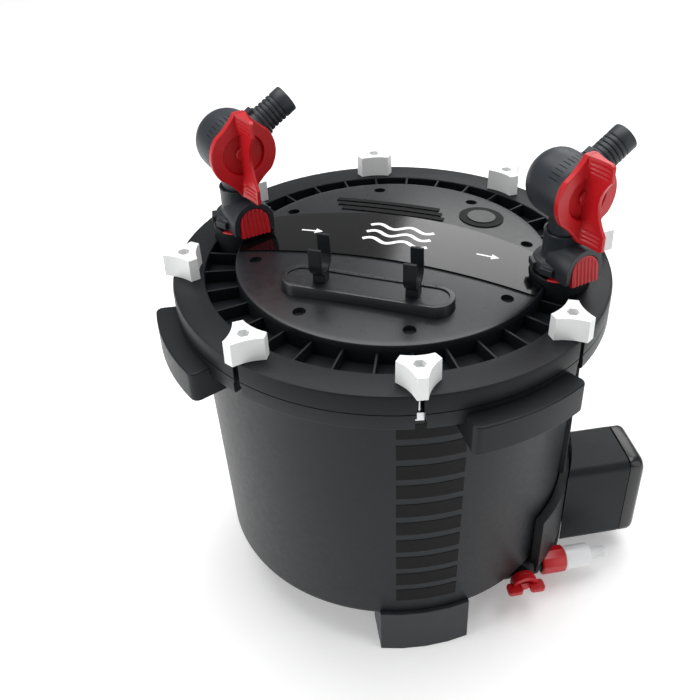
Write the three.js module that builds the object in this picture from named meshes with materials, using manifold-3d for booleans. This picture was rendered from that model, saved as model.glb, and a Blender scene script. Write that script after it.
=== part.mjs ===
// Canister filter: a tapering bucket with a bolted lid, two quick-release ball valves,
// a drain valve and a pump motor on its side. Millimetres, +Z up, floor at z = 0.
import * as THREE from "three";
import { mergeVertices } from "three/addons/utils/BufferGeometryUtils.js";
import Module from "manifold-3d";

const wasm = await Module();
wasm.setup();

// ---------------------------------------------------------------- driving dimensions
const GAP = 0.3; // clearance between touching pieces

// lid, flange and bucket, all round one upright axis
const NUT_CIRCLE = 165;
const RIM_R = 176;
const RIM_TOP = 300;
const LID_BOTTOM = 283.4;
const FLANGE_BOTTOM = 270;
const POCKET_IN_R = 126.3;
const POCKET_OUT_R = 150.8;
const POCKET_FLOOR = 289;
const POCKET_COUNT = 32;
const WALL_TOP_R = 160;
const WALL_BOTTOM_R = 153;
const WALL = 4;
const BOTTOM_Z = 41;
const ROUND_SEGMENTS = 48;

// raised middle panel
const PANEL_EDGE_Z = 305.8;
const PANEL_TOP_Z = 312.7;
const SCREW_CIRCLE = 110;
const SCREW_HOLE_R = 5;

// lid fasteners
const FASTENERS = 8;
const NUT_TOP = 318.5;
const NUT_BOTTOM = RIM_TOP + GAP;
const SHANK_R = 2.4;
const SLOT_W = 5.8;
const HEAD_W = 7.4;
const HEAD_SLOT_W = 8;
const HEAD_TOP = 279.5;
const HEAD_BOTTOM = 272;

// carrying grips under the flange
const GRIP_ANGLES = [-42, -138];
const GRIP_HALF = 15;
const GRIP_R = 192;
const GRIP_TOP = 278;
const GRIP_BOTTOM = 252.5;

// feet
const FOOT_FIRST_ANGLE = -63.6;
const FOOT_R = 156.5;
const FOOT_INNER_R = 112;
const FOOT_DEPTH = 56;
const FOOT_HALF_W = 38.5;

// valves: axis on the lid, and how far each is turned about it
const VALVE_X = 133.6;
const VALVE_Y = 6.4;
const VALVE_TURN = 47;
const DRUM_Z = 379.5;
const DRUM_R = 25.6;
const BARB_TILT = 58.5; // from the vertical
const BARB_END = 57.6; // from the drum's centre
const LEVER_R = 27.5;
const LEVER_REACH = 34.5;
const LEVER_DEPTH = 43;

// motor and drain lie along a line turned from +X
const SIDE_TURN = 28;
const MOTOR_NEAR = -83.3;
const MOTOR_FAR = -24.7;
const MOTOR_BOTTOM = 19.5;
const MOTOR_TOP = 111;
const MOTOR_END = 216.5;
const CAP_START = 202;
const MOTOR_MID = (MOTOR_NEAR + MOTOR_FAR) / 2;
const SHAFT_Z = 65;
const PUMP_OUTLET_Z = 90;
const BRACKET_R = 164;
const BRACKET_TOP = 98.5;
const DRAIN_ACROSS = -109.3;
const DRAIN_Z = 29.7;

// ---------------------------------------------------------------- materials
const plastic = (color, roughness) =>
  new THREE.MeshStandardMaterial({ color, roughness, metalness: 0 });
const bodyPlastic = plastic(0x3b3c3f, 0.45);
const darkPlastic = plastic(0x2b2c2f, 0.5);
const glossBlack = plastic(0x121314, 0.12);
const valveGrey = plastic(0x43464a, 0.42);
const redPlastic = plastic(0xc4202a, 0.35);
const whitePlastic = plastic(0xf1f1ef, 0.4);
const rubber = plastic(0x1c1c1d, 0.8);
const foam = plastic(0x2a2f36, 0.95);
const steel = new THREE.MeshStandardMaterial({ color: 0xc9ccd0, roughness: 0.25, metalness: 1 });
const ceramic = plastic(0xe8e6e0, 0.3);

// ---------------------------------------------------------------- geometry helpers
const radians = THREE.MathUtils.degToRad;

// A closed geometry as a solid for joining and cutting, turned right side out if needed.
function solid(geometry) {
  const plain = geometry.clone();
  plain.deleteAttribute("normal");
  plain.deleteAttribute("uv");
  const merged = mergeVertices(plain, 1e-4);
  const make = (triVerts) =>
    new wasm.Manifold(
      new wasm.Mesh({ numProp: 3, vertProperties: merged.attributes.position.array, triVerts }),
    );
  const index = new Uint32Array(merged.index.array);
  const made = make(index);
  if (made.volume() > 0) return made;
  for (let i = 0; i < index.length; i += 3) [index[i], index[i + 1]] = [index[i + 1], index[i]];
  return make(index);
}

function join(first, ...others) {
  return others.reduce((sum, other) => sum.add(other), first);
}

function cut(first, ...others) {
  return others.reduce((rest, other) => rest.subtract(other), first);
}

// A profile of [radius, height] points turned about Z.
function turned(points, segments = 24) {
  const profile = points.map(([r, z]) => new THREE.Vector2(r, z));
  return new THREE.LatheGeometry(profile, segments).rotateX(Math.PI / 2);
}

// The same, turned about the piece's X or Y axis.
const turnedX = (points, segments) => turned(points, segments).rotateY(Math.PI / 2);
const turnedY = (points, segments) => turned(points, segments).rotateX(-Math.PI / 2);

function rod(radius, from, to, segments = 20) {
  const geometry = new THREE.CylinderGeometry(radius, radius, to - from, segments);
  return geometry.rotateX(Math.PI / 2).translate(0, 0, (from + to) / 2);
}
const rodX = (radius, from, to, segments) => rod(radius, from, to, segments).rotateY(Math.PI / 2);
const rodY = (radius, from, to, segments) => rod(radius, from, to, segments).rotateX(-Math.PI / 2);

function block(x0, x1, y0, y1, z0, z1) {
  const geometry = new THREE.BoxGeometry(x1 - x0, y1 - y0, z1 - z0);
  return geometry.translate((x0 + x1) / 2, (y0 + y1) / 2, (z0 + z1) / 2);
}

function tube(inner, outer, from, to, segments) {
  return turned([[inner, from], [outer, from], [outer, to], [inner, to], [inner, from]], segments);
}

function prism(shape, from, to, curveSegments = 6) {
  const options = { depth: to - from, bevelEnabled: false, curveSegments };
  return new THREE.ExtrudeGeometry(shape, options).translate(0, 0, from);
}

// Stands a prism up: its outline then lies in the YZ plane and its depth along X.
const upright = (geometry) => geometry.rotateX(Math.PI / 2).rotateZ(Math.PI / 2);

// A rectangle with round corners, centred on (x, y).
function roundedRect(x, y, width, height, radius) {
  const [l, r, b, t] = [x - width / 2, x + width / 2, y - height / 2, y + height / 2];
  const shape = new THREE.Shape();
  shape.moveTo(l + radius, b);
  shape.lineTo(r - radius, b);
  shape.absarc(r - radius, b + radius, radius, -Math.PI / 2, 0, false);
  shape.lineTo(r, t - radius);
  shape.absarc(r - radius, t - radius, radius, 0, Math.PI / 2, false);
  shape.lineTo(l + radius, t);
  shape.absarc(l + radius, t - radius, radius, Math.PI / 2, Math.PI, false);
  shape.lineTo(l, b + radius);
  shape.absarc(l + radius, b + radius, radius, Math.PI, 1.5 * Math.PI, false);
  return shape;
}

// A wedge of a ring between two radii and two angles in degrees.
function ringSector(inner, outer, fromAngle, toAngle) {
  const [a, b] = [radians(fromAngle), radians(toAngle)];
  const shape = new THREE.Shape();
  shape.absarc(0, 0, outer, a, b, false);
  shape.absarc(0, 0, inner, b, a, true);
  return shape;
}

// The same wedge with its two outer corners rounded.
function gripOutline(angle) {
  const [a, b] = [radians(angle - GRIP_HALF), radians(angle + GRIP_HALF)];
  const corner = 5.5;
  const bend = corner / GRIP_R;
  const at = (r, t) => [r * Math.cos(t), r * Math.sin(t)];
  const shape = new THREE.Shape();
  shape.absarc(0, 0, GRIP_R, a + bend, b - bend, false);
  shape.quadraticCurveTo(...at(GRIP_R, b), ...at(GRIP_R - corner, b));
  shape.absarc(0, 0, WALL_TOP_R - 2, b, a, true);
  shape.lineTo(...at(GRIP_R - corner, a));
  shape.quadraticCurveTo(...at(GRIP_R, a), ...at(GRIP_R, a + bend));
  return shape;
}

// A solid as a named mesh with its own material.
function mesh(name, body, material) {
  const { vertProperties, triVerts, numProp } = body.getMesh();
  const positions = new Float32Array((vertProperties.length / numProp) * 3);
  for (let i = 0; i < positions.length / 3; i++)
    positions.set(vertProperties.subarray(i * numProp, i * numProp + 3), i * 3);
  const geometry = new THREE.BufferGeometry();
  geometry.setAttribute("position", new THREE.BufferAttribute(positions, 3));
  geometry.setIndex(new THREE.BufferAttribute(triVerts, 1));
  geometry.computeVertexNormals();
  const made = new THREE.Mesh(geometry, material);
  made.name = name;
  return made;
}

const fastenerAngle = (i) => 22.5 + (360 / FASTENERS) * i;

// Copies of a geometry at each fastener, turned about the axis.
function atFasteners(geometry) {
  return Array.from({ length: FASTENERS }, (_, i) =>
    solid(geometry.clone().rotateZ(radians(fastenerAngle(i)))),
  );
}

// The pump's inlet and outlet ports, through the bucket's wall, the bracket and the motor's wall.
function pumpPorts(turn = 0) {
  return [SHAFT_Z, PUMP_OUTLET_Z].map((z) =>
    solid(rodX(5, 140, 169, 10).translate(0, MOTOR_MID, z).rotateZ(radians(turn))),
  );
}

// ---------------------------------------------------------------- bucket
function canister() {
  const shell = solid(
    turned(
      [
        [0, BOTTOM_Z],
        [146, BOTTOM_Z],
        [151, BOTTOM_Z + 2.2],
        [WALL_BOTTOM_R, BOTTOM_Z + 8],
        [WALL_TOP_R, FLANGE_BOTTOM - 4],
        [WALL_TOP_R + 2, FLANGE_BOTTOM],
        [RIM_R - 1, FLANGE_BOTTOM],
        [RIM_R, FLANGE_BOTTOM + 1],
        [RIM_R, LID_BOTTOM - GAP],
        [WALL_TOP_R - WALL - 1, LID_BOTTOM - GAP],
        [WALL_TOP_R - WALL - 1, FLANGE_BOTTOM - 6],
        [WALL_BOTTOM_R - WALL, BOTTOM_Z + 10],
        [WALL_BOTTOM_R - WALL - 5, BOTTOM_Z + WALL],
        [0, BOTTOM_Z + WALL],
      ],
      ROUND_SEGMENTS,
    ),
  );
  const grips = GRIP_ANGLES.map((angle) =>
    solid(prism(gripOutline(angle), GRIP_BOTTOM, GRIP_TOP, 7)),
  );
  const slots = atFasteners(
    block(NUT_CIRCLE - 3.5, RIM_R + 5, -SLOT_W / 2, SLOT_W / 2, FLANGE_BOTTOM - 6, LID_BOTTOM + 5),
  );
  const channels = atFasteners(
    block(
      NUT_CIRCLE - 4.6,
      RIM_R + 5,
      -HEAD_SLOT_W / 2,
      HEAD_SLOT_W / 2,
      FLANGE_BOTTOM - 6,
      HEAD_TOP + GAP,
    ),
  );
  // two upright ribs that keep the mains lead against the wall above the motor
  const leadRibs = [-3, 8].map((angle) =>
    solid(
      block(WALL_BOTTOM_R, WALL_TOP_R + 0.8, -1.6, 1.6, MOTOR_TOP + 1, 232).rotateZ(radians(angle)),
    ),
  );
  const body = join(shell, ...grips, ...leadRibs);
  return mesh("canister", cut(body, ...slots, ...channels, ...pumpPorts(SIDE_TURN)), bodyPlastic);
}

// Round outline of the bucket's underside, a clearance larger, used to shape the feet.
function bucketClearance() {
  return solid(
    turned(
      [
        [0, BOTTOM_Z - GAP],
        [146.1, BOTTOM_Z - GAP],
        [151.3, BOTTOM_Z + 1.9],
        [WALL_BOTTOM_R + GAP, BOTTOM_Z + 7.9],
        [WALL_BOTTOM_R + 1, BOTTOM_Z + 30],
        [0, BOTTOM_Z + 30],
      ],
      ROUND_SEGMENTS,
    ),
  );
}

function foot(name, angle) {
  const plan = roundedRect(FOOT_INNER_R + FOOT_DEPTH / 2, 0, FOOT_DEPTH, 2 * FOOT_HALF_W, 4);
  const pad = solid(prism(plan, 0, BOTTOM_Z + 5.5, 2));
  const outer = solid(rod(FOOT_R, -1, BOTTOM_Z + 20, ROUND_SEGMENTS));
  const piece = mesh(name, cut(pad.intersect(outer), bucketClearance()), darkPlastic);
  piece.rotation.z = radians(angle);
  return piece;
}

// ---------------------------------------------------------------- lid
function lid() {
  const shell = solid(
    turned(
      [
        [0, RIM_TOP - 4],
        [POCKET_IN_R - 3.5, RIM_TOP - 4],
        [POCKET_IN_R - 3.5, POCKET_FLOOR - 3.5],
        [145.5, POCKET_FLOOR - 3.5],
        [145.5, FLANGE_BOTTOM + 2],
        [150, FLANGE_BOTTOM + 2],
        [150, LID_BOTTOM],
        [RIM_R, LID_BOTTOM],
        [RIM_R, RIM_TOP - 2.5],
        [RIM_R - 2.5, RIM_TOP],
        [POCKET_OUT_R, RIM_TOP],
        [POCKET_OUT_R, POCKET_FLOOR],
        [POCKET_IN_R, POCKET_FLOOR],
        [POCKET_IN_R, RIM_TOP],
        [0, RIM_TOP],
      ],
      ROUND_SEGMENTS,
    ),
  );
  const ribs = Array.from({ length: POCKET_COUNT }, (_, i) => {
    const rib = block(POCKET_IN_R - 1, POCKET_OUT_R + 1, -1, 1, POCKET_FLOOR - 1, RIM_TOP - 0.5);
    return solid(rib.rotateZ(radians((360 / POCKET_COUNT) * i)));
  });
  const slots = atFasteners(
    block(NUT_CIRCLE - 3.5, RIM_R + 5, -SLOT_W / 2, SLOT_W / 2, LID_BOTTOM - 5, RIM_TOP + 5),
  );
  const seats = [-1, 1].flatMap((side) => {
    const [x, y] = [side * VALVE_X, VALVE_Y];
    return [
      solid(rod(24, POCKET_FLOOR + 1, RIM_TOP + 20, 28).translate(x, y, 0)),
      solid(rod(10, POCKET_FLOOR - 20, RIM_TOP, 20).translate(x, y, 0)),
    ];
  });
  // the seats keep a floor of their own, so the panel's edge and the pockets end at them
  const floors = [-1, 1].map((side) =>
    solid(rod(24.6, POCKET_FLOOR - 3.5, POCKET_FLOOR + 1.5, 28).translate(side * VALVE_X, VALVE_Y, 0)),
  );
  return mesh("lid", cut(join(shell, ...ribs, ...floors), ...slots, ...seats), bodyPlastic);
}

function lidSeal() {
  const z = FLANGE_BOTTOM + 6;
  const points = [[150.4, z], [152.5, z - 2.5], [154.6, z], [152.5, z + 2.5], [150.4, z]];
  return mesh("lid_seal", solid(turned(points, ROUND_SEGMENTS)), rubber);
}

// Height of the panel's dome at a radius: flat in the middle, falling to its edge.
const domeZ = (r) => PANEL_TOP_Z - (PANEL_TOP_Z - PANEL_EDGE_Z) * (r / POCKET_IN_R) ** 2;

function domeProfile(lift, floor) {
  const radii = [0, 45, 80, 106, POCKET_IN_R - 1.5];
  const top = radii.map((r) => [r, domeZ(r) + lift]).reverse();
  return [[0, floor], [POCKET_IN_R, floor], [POCKET_IN_R, domeZ(POCKET_IN_R) + lift - 1], ...top];
}

const TRAY = { y: -69.3, length: 135, width: 31.5, floor: 306, recess: 316.7, rim: 318 };

// Room for each valve's round socket.
function valveClearances() {
  return [-1, 1].map((side) =>
    solid(rod(24.3, POCKET_FLOOR, RIM_TOP + 30, 24).translate(side * VALVE_X, VALVE_Y, 0)),
  );
}

function lidCover() {
  const dome = solid(turned(domeProfile(0, RIM_TOP + GAP), ROUND_SEGMENTS));
  const holes = atFasteners(rod(SCREW_HOLE_R, 304, PANEL_TOP_Z + 5, 10).translate(SCREW_CIRCLE, 0, 0));
  const trayPocket = roundedRect(0, TRAY.y, TRAY.length + 2 * GAP, TRAY.width + 2 * GAP, 15);
  const pocket = solid(prism(trayPocket, TRAY.floor, PANEL_TOP_Z + 5));
  return mesh("lid_cover", cut(dome, ...holes, pocket, ...valveClearances()), bodyPlastic);
}

// Trim band across the panel, between two gentle arcs.
function badgeBand() {
  const outline = new THREE.Shape();
  outline.moveTo(-130, -33.5);
  outline.quadraticCurveTo(0, -10.5, 130, -33.5);
  outline.lineTo(130, 20);
  outline.quadraticCurveTo(0, 82, -130, 20);
  const plan = solid(prism(outline, RIM_TOP, PANEL_TOP_Z + 5, 12));
  const skin = cut(
    solid(turned(domeProfile(1.3, RIM_TOP + 2), ROUND_SEGMENTS)),
    solid(turned(domeProfile(GAP, RIM_TOP), ROUND_SEGMENTS)),
  );
  const inside = solid(rod(POCKET_IN_R - 1.5, RIM_TOP, PANEL_TOP_Z + 8, ROUND_SEGMENTS));
  const band = cut(skin.intersect(plan).intersect(inside), ...valveClearances());
  return mesh("badge_band", band, glossBlack);
}

function clipTray() {
  const plan = roundedRect(0, TRAY.y, TRAY.length, TRAY.width, 15);
  const hollow = roundedRect(0, TRAY.y, TRAY.length - 9, TRAY.width - 9, 11);
  const outer = solid(prism(plan, TRAY.floor + GAP, TRAY.rim));
  const inner = solid(prism(hollow, TRAY.recess, TRAY.rim + 5));
  return mesh("clip_tray", cut(outer, inner), bodyPlastic);
}

// Spring clip: a stem with two prongs that curve up to hold a lead or a tool.
function clip(name, x) {
  const outline = new THREE.Shape();
  outline.moveTo(-5.5, 0);
  outline.lineTo(5.5, 0);
  outline.lineTo(4.6, 6);
  outline.absarc(0, 18, 12, radians(-60), radians(20), false);
  outline.lineTo(10.4, 34);
  outline.lineTo(7.6, 34);
  outline.absarc(0, 18, 9, radians(20), radians(-200), true);
  outline.lineTo(-8.9, 31);
  outline.lineTo(-11.7, 31);
  outline.absarc(0, 18, 12, radians(170), radians(240), false);
  outline.lineTo(-4.6, 6);
  const geometry = upright(prism(outline, -4.9, 4.9, 8)).translate(x, TRAY.y, TRAY.recess + GAP);
  return mesh(name, solid(geometry), darkPlastic);
}

// ---------------------------------------------------------------- fasteners
function bolt(name) {
  const shank = solid(rod(SHANK_R, HEAD_TOP - 2, NUT_TOP - 7, 10));
  const head = solid(block(-HEAD_W / 2, HEAD_W / 2, -HEAD_W / 2, HEAD_W / 2, HEAD_BOTTOM, HEAD_TOP));
  return mesh(name, join(head, shank), steel);
}

// Three blunt tips, the first along +X, joined by hollow sides.
function threeTips(reach, halfTip, waist) {
  const shape = new THREE.Shape();
  for (let i = 0; i < 3; i++) {
    const turn = radians(120 * i);
    const at = (x, y) => [
      x * Math.cos(turn) - y * Math.sin(turn),
      x * Math.sin(turn) + y * Math.cos(turn),
    ];
    if (i === 0) shape.moveTo(...at(reach, -halfTip));
    shape.lineTo(...at(reach, halfTip));
    const middle = at(waist * Math.cos(radians(60)), waist * Math.sin(radians(60)));
    const next = at(
      reach * Math.cos(radians(120)) + halfTip * Math.sin(radians(120)),
      reach * Math.sin(radians(120)) - halfTip * Math.cos(radians(120)),
    );
    shape.quadraticCurveTo(...middle, ...next);
  }
  return shape;
}

function nut(name) {
  const knob = solid(prism(threeTips(16.2, 3.9, 7.7), NUT_BOTTOM, NUT_TOP, 5));
  const bore = solid(rod(SHANK_R + 0.4, NUT_BOTTOM - 1, NUT_TOP - 4, 10));
  const hexagon = solid(rod(4.8, NUT_TOP - 5, NUT_TOP + 1, 6));
  return mesh(name, cut(knob, bore, hexagon), whitePlastic);
}

// ---------------------------------------------------------------- valve stations
const SOCKET_TOP = 312.1;
const LIP_BOTTOM = 312.5;
const LIP_TOP = 313.7;
const NECK_BOTTOM = LIP_TOP + GAP;
const COLLAR_TOP = 323;
const NECK_TOP = 346;
const HOOD_MID = 323;

function valveSocket(name) {
  return mesh(name, solid(tube(13, 23.5, POCKET_FLOOR + 1 + GAP, SOCKET_TOP, 24)), darkPlastic);
}

// D-shaped prism along Y that fills the hood's mouth.
function hoodPlug(radius, floor, from, to) {
  const shape = new THREE.Shape();
  shape.moveTo(-radius, floor - HOOD_MID);
  shape.lineTo(radius, floor - HOOD_MID);
  shape.lineTo(radius, 0);
  shape.absarc(0, 0, radius, 0, Math.PI, false);
  return prism(shape, -to, -from, 8).rotateX(Math.PI / 2).translate(0, 0, HOOD_MID);
}

function valveNeck(name) {
  const collar = solid(tube(8.5, 22, NECK_BOTTOM, COLLAR_TOP, 24));
  const plug = solid(tube(8.5, 12.6, POCKET_FLOOR + 3, NECK_BOTTOM + 1, 24));
  const cup = cut(
    solid(tube(8.5, 15.6, COLLAR_TOP - 1, NECK_TOP, 24)),
    solid(rod(13.4, 330, NECK_TOP + 1, 24)),
  );
  const hood = solid(hoodPlug(17.5, NECK_BOTTOM, -27.5, -2));
  const lugs = [20, 160].map((angle) =>
    solid(block(18, 24.6, -5.5, 5.5, NECK_BOTTOM + 1, COLLAR_TOP - 2).rotateZ(radians(angle))),
  );
  const bore = solid(rod(8.5, NECK_BOTTOM - 1, 331, 24));
  const cupBore = solid(rod(13.4, 330, NECK_TOP + 1, 24));
  const mouth = solid(hoodPlug(12.9, NECK_BOTTOM - 1, -30, -16.2));
  return mesh(name, cut(join(collar, plug, cup, hood, ...lugs), bore, cupBore, mouth), valveGrey);
}

// Push tab: a ribbed plug in the hood's mouth with a curved lip that slides under the collar.
function releaseTab(name) {
  const plug = solid(hoodPlug(12.5, LIP_BOTTOM, -28.5, -20));
  const grooves = [-8, -4, 0, 4, 8].map((x) =>
    solid(block(x - 0.8, x + 0.8, -31, -27.4, LIP_TOP + 1.5, 345)),
  );
  const lip = solid(prism(ringSector(18.5, 25.3, -152, -28), LIP_BOTTOM, LIP_TOP, 8));
  return mesh(name, join(cut(plug, ...grooves), lip), redPlastic);
}

// Ball housing: a drum across the valve with a rounded back, a spigot down into the cup and
// a boss for the hose barb.
function valveDrum(name) {
  const front = [[0, -15], [23.5, -15], [DRUM_R, -13]];
  const back = [[DRUM_R, 18], [23.5, 25.5], [17, 31.5], [0, 34]];
  const drum = solid(turnedY([...front, ...back], 24));
  const spigot = solid(rod(13, 330.5 - DRUM_Z, -18, 20));
  const boss = solid(rod(13, 12, 28, 20).rotateY(radians(BARB_TILT)));
  const chamber = solid(new THREE.SphereGeometry(17, 16, 8));
  const down = solid(rod(8.5, 330 - DRUM_Z, 0, 18));
  const out = solid(rod(8, 0, 30, 18).rotateY(radians(BARB_TILT)));
  const stemHole = solid(rodY(4.4, -20, -5, 14));
  const body = cut(join(drum, spigot, boss), chamber, down, out, stemHole);
  const piece = mesh(name, body, valveGrey);
  piece.position.z = DRUM_Z;
  return piece;
}

function hoseBarb(name) {
  const profile = [[8, 28.3], [13, 28.3], [13, 31], [10.4, 31.4]];
  for (let z = 32.5; z < 46; z += 4) profile.push([11.3, z], [10.2, z + 3.6]);
  profile.push([11.3, 48], [11.3, BARB_END - 1], [10.4, BARB_END], [8, BARB_END]);
  profile.push(profile[0]);
  const piece = mesh(name, solid(turned(profile, 16).rotateY(radians(BARB_TILT))), valveGrey);
  piece.position.z = DRUM_Z;
  return piece;
}

function valveBall(name) {
  const ball = solid(new THREE.SphereGeometry(16.2, 16, 8));
  const stem = solid(rodY(4, -19, -8, 14));
  const bore = solid(rod(8, -20, 0, 18));
  const outlet = solid(rod(8, 0, 20, 18).rotateY(radians(BARB_TILT)));
  const piece = mesh(name, cut(join(ball, stem), bore, outlet), whitePlastic);
  piece.position.z = DRUM_Z;
  return piece;
}

// Ring lever with an upright grip fin, wide at both ends and pinched in the middle.
function valveLever(name) {
  const rim = [[LEVER_R, -15.4], [LEVER_R, -20.6], [17.5, -20.6]];
  const disc = solid(turnedY([[0, -15.4], ...rim, [17.5, -16.6], [0, -16.6]], 28));
  const fin = new THREE.Shape();
  fin.moveTo(-16.4, -LEVER_REACH);
  fin.lineTo(-LEVER_DEPTH, -LEVER_REACH);
  fin.lineTo(-LEVER_DEPTH, -LEVER_REACH + 13);
  fin.quadraticCurveTo(-24, 0, -LEVER_DEPTH, LEVER_REACH - 13);
  fin.lineTo(-LEVER_DEPTH, LEVER_REACH);
  fin.lineTo(-16.4, LEVER_REACH);
  const blade = solid(upright(prism(fin, -2, 2, 7)));
  const hub = solid(rodY(5.6, -19.6, -16, 14));
  const wedge = new THREE.Shape();
  wedge.moveTo(-17, 20);
  wedge.lineTo(-5, LEVER_REACH);
  wedge.lineTo(5, LEVER_REACH);
  wedge.lineTo(17, 20);
  const tips = [0, Math.PI].map((turn) =>
    solid(prism(wedge, 16.4, 20.6).rotateX(Math.PI / 2).rotateY(turn)),
  );
  const stemHole = solid(rodY(4.4, -19.4, -12, 14));
  const piece = mesh(name, cut(join(disc, blade, hub, ...tips), stemHole), redPlastic);
  piece.position.z = DRUM_Z;
  return piece;
}

function valveStation(suffix, side) {
  const station = new THREE.Group();
  station.add(valveSocket("valve_socket_" + suffix));
  station.add(valveNeck("valve_neck_" + suffix));
  station.add(releaseTab("release_tab_" + suffix));
  station.add(valveDrum("valve_drum_" + suffix));
  station.add(hoseBarb("hose_barb_" + suffix));
  station.add(valveBall("valve_ball_" + suffix));
  station.add(valveLever("valve_lever_" + suffix));
  station.position.set(side * VALVE_X, VALVE_Y, 0);
  station.rotation.z = radians(VALVE_TURN);
  return station;
}

// ---------------------------------------------------------------- motor
const MOTOR_MID_Z = (MOTOR_BOTTOM + MOTOR_TOP) / 2;
const MOTOR_W = MOTOR_FAR - MOTOR_NEAR;
const MOTOR_H = MOTOR_TOP - MOTOR_BOTTOM;

// A box along X with rounded long edges, shrunk by an inset all round.
function motorBox(from, to, inset, radius) {
  const section = roundedRect(0, 0, MOTOR_H - 2 * inset, MOTOR_W - 2 * inset, radius);
  return prism(section, from, to, 4)
    .rotateY(Math.PI / 2)
    .translate(0, MOTOR_MID, MOTOR_MID_Z);
}

function motorHousing() {
  const bound = solid(rod(BRACKET_R + 3 * GAP, 0, 200, ROUND_SEGMENTS));
  const cavity = solid(motorBox(168, CAP_START + 5, 3, 6));
  const box = solid(motorBox(110, CAP_START, 0, 9));
  return mesh("motor_housing", cut(box, bound, cavity, ...pumpPorts()), bodyPlastic);
}

function motorEndCap() {
  const cap = solid(motorBox(CAP_START + GAP, MOTOR_END - 2, 0, 9));
  const face = solid(motorBox(MOTOR_END - 3, MOTOR_END, 2.5, 7));
  return mesh("motor_end_cap", join(cap, face), darkPlastic);
}

// Curved saddle between the bucket's wall and the motor, stepped up to clear the drain.
function motorBracket() {
  const wall = solid(prism(ringSector(155.8, BRACKET_R, -50, 6), MOTOR_BOTTOM + 1, BRACKET_TOP, 9));
  const step = solid(block(90, 150, -140, -87, 0, DRAIN_Z + 13.5));
  return mesh("motor_bracket", cut(wall, step, ...pumpPorts()), darkPlastic);
}

function pumpCover() {
  const points = [[7, 168.5], [24, 168.5], [24, 171], [7, 171], [7, 168.5]];
  const plate = solid(turnedX(points, 24).translate(0, MOTOR_MID, SHAFT_Z));
  return mesh("pump_cover", plate, darkPlastic);
}

function impeller() {
  const rotor = solid(rodX(10, 175, 198, 18));
  const hub = solid(rodX(16, 174, 176, 18));
  const vanes = [0, 60, 120].map((angle) =>
    solid(block(171.4, 175, -15.5, 15.5, -0.8, 0.8).rotateX(radians(angle))),
  );
  const bore = solid(rodX(1.9, 160, 200, 10));
  const piece = mesh("impeller", cut(join(rotor, hub, ...vanes), bore), rubber);
  piece.position.set(0, MOTOR_MID, SHAFT_Z);
  return piece;
}

function impellerShaft() {
  const piece = mesh("impeller_shaft", solid(rodX(1.5, 171.3, 202, 10)), ceramic);
  piece.position.set(0, MOTOR_MID, SHAFT_Z);
  return piece;
}

function stator() {
  const stack = solid(
    block(179, 197, MOTOR_MID - 23, MOTOR_MID + 23, SHAFT_Z - 23, SHAFT_Z + 23),
  );
  const bore = solid(rodX(11, 170, 205, 18).translate(0, MOTOR_MID, SHAFT_Z));
  return mesh("stator", cut(stack, bore), steel);
}

function cordGland() {
  const start = MOTOR_FAR + GAP;
  const boss = solid(rodY(7, start, start + 5, 6));
  const sleeve = solid(rodY(4.6, start + 4, start + 13, 14));
  const bore = solid(rodY(2.6, start + 2, start + 20, 12));
  const piece = mesh("cord_gland", cut(join(boss, sleeve), bore), rubber);
  piece.position.set(188, 0, 45);
  return piece;
}

// ---------------------------------------------------------------- drain
const DRAIN_BALL_X = 92;

function drainPipe() {
  const pipe = solid(rodX(5.6, 42, 77, 14));
  const collar = solid(rodX(8, 69, 74.5, 14));
  const riser = solid(rod(7, -5.6, BOTTOM_Z - GAP - DRAIN_Z, 14).translate(48, 0, 0));
  const bore = solid(rodX(3.6, 48, 80, 10));
  const riserBore = solid(rod(3.6, -2, 30, 10).translate(48, 0, 0));
  return mesh("drain_pipe", cut(join(pipe, collar, riser), bore, riserBore), darkPlastic);
}

function drainBody() {
  const barrel = solid(rodX(10.6, 77.4, 106, 18));
  const tail = solid(rodX(8, 105, 122, 16));
  const boss = solid(rodY(8, -15, -6, 16).translate(DRAIN_BALL_X, 0, 0));
  const chamber = solid(new THREE.SphereGeometry(8.8, 14, 7).translate(DRAIN_BALL_X, 0, 0));
  const bore = solid(rodX(3.8, 70, 130, 12));
  const stemHole = solid(rodY(3.3, -20, -4, 12).translate(DRAIN_BALL_X, 0, 0));
  return mesh("drain_body", cut(join(barrel, tail, boss), chamber, bore, stemHole), darkPlastic);
}

function drainBall() {
  const ball = solid(new THREE.SphereGeometry(8.2, 14, 7));
  const stem = solid(rodY(2.9, -18.5, -5, 12));
  const piece = mesh("drain_ball", cut(join(ball, stem), solid(rodX(3.8, -12, 12, 12))), whitePlastic);
  piece.position.x = DRAIN_BALL_X;
  return piece;
}

// Butterfly handle: a round cap on the stem with two flat wings and a slot between them.
function drainHandle() {
  const cap = solid(rodY(11.5, -20.5, -15.4, 20));
  const wings = solid(block(-17, 17, -32, -19, -2, 2));
  const slot = solid(block(-3.2, 3.2, -35, -22.5, -5, 5));
  const stemHole = solid(rodY(3.3, -18.9, -12, 12));
  const piece = mesh("drain_handle", cut(join(cap, wings), slot, stemHole), redPlastic);
  piece.position.x = DRAIN_BALL_X;
  return piece;
}

function drainLockNut() {
  const ring = [[9, 113.5], [11.6, 113.5], [12.7, 115], [12.7, 134.5], [11.6, 136], [9, 136]];
  return mesh("drain_lock_nut", solid(turnedX([...ring, ring[0]], 10)), redPlastic);
}

function drainNozzle() {
  const profile = [[3, 122.3], [8, 122.3], [8, 136.4], [10.6, 136.4]];
  profile.push([10.6, 159], [9.6, 160.4], [6.2, 160.4]);
  for (let x = 161; x < 174; x += 4) profile.push([6, x], [5.2, x + 3]);
  profile.push([4.6, 177.5], [3, 177.5], [3, 122.3]);
  return mesh("drain_nozzle", solid(turnedX(profile, 14)), whitePlastic);
}

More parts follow.
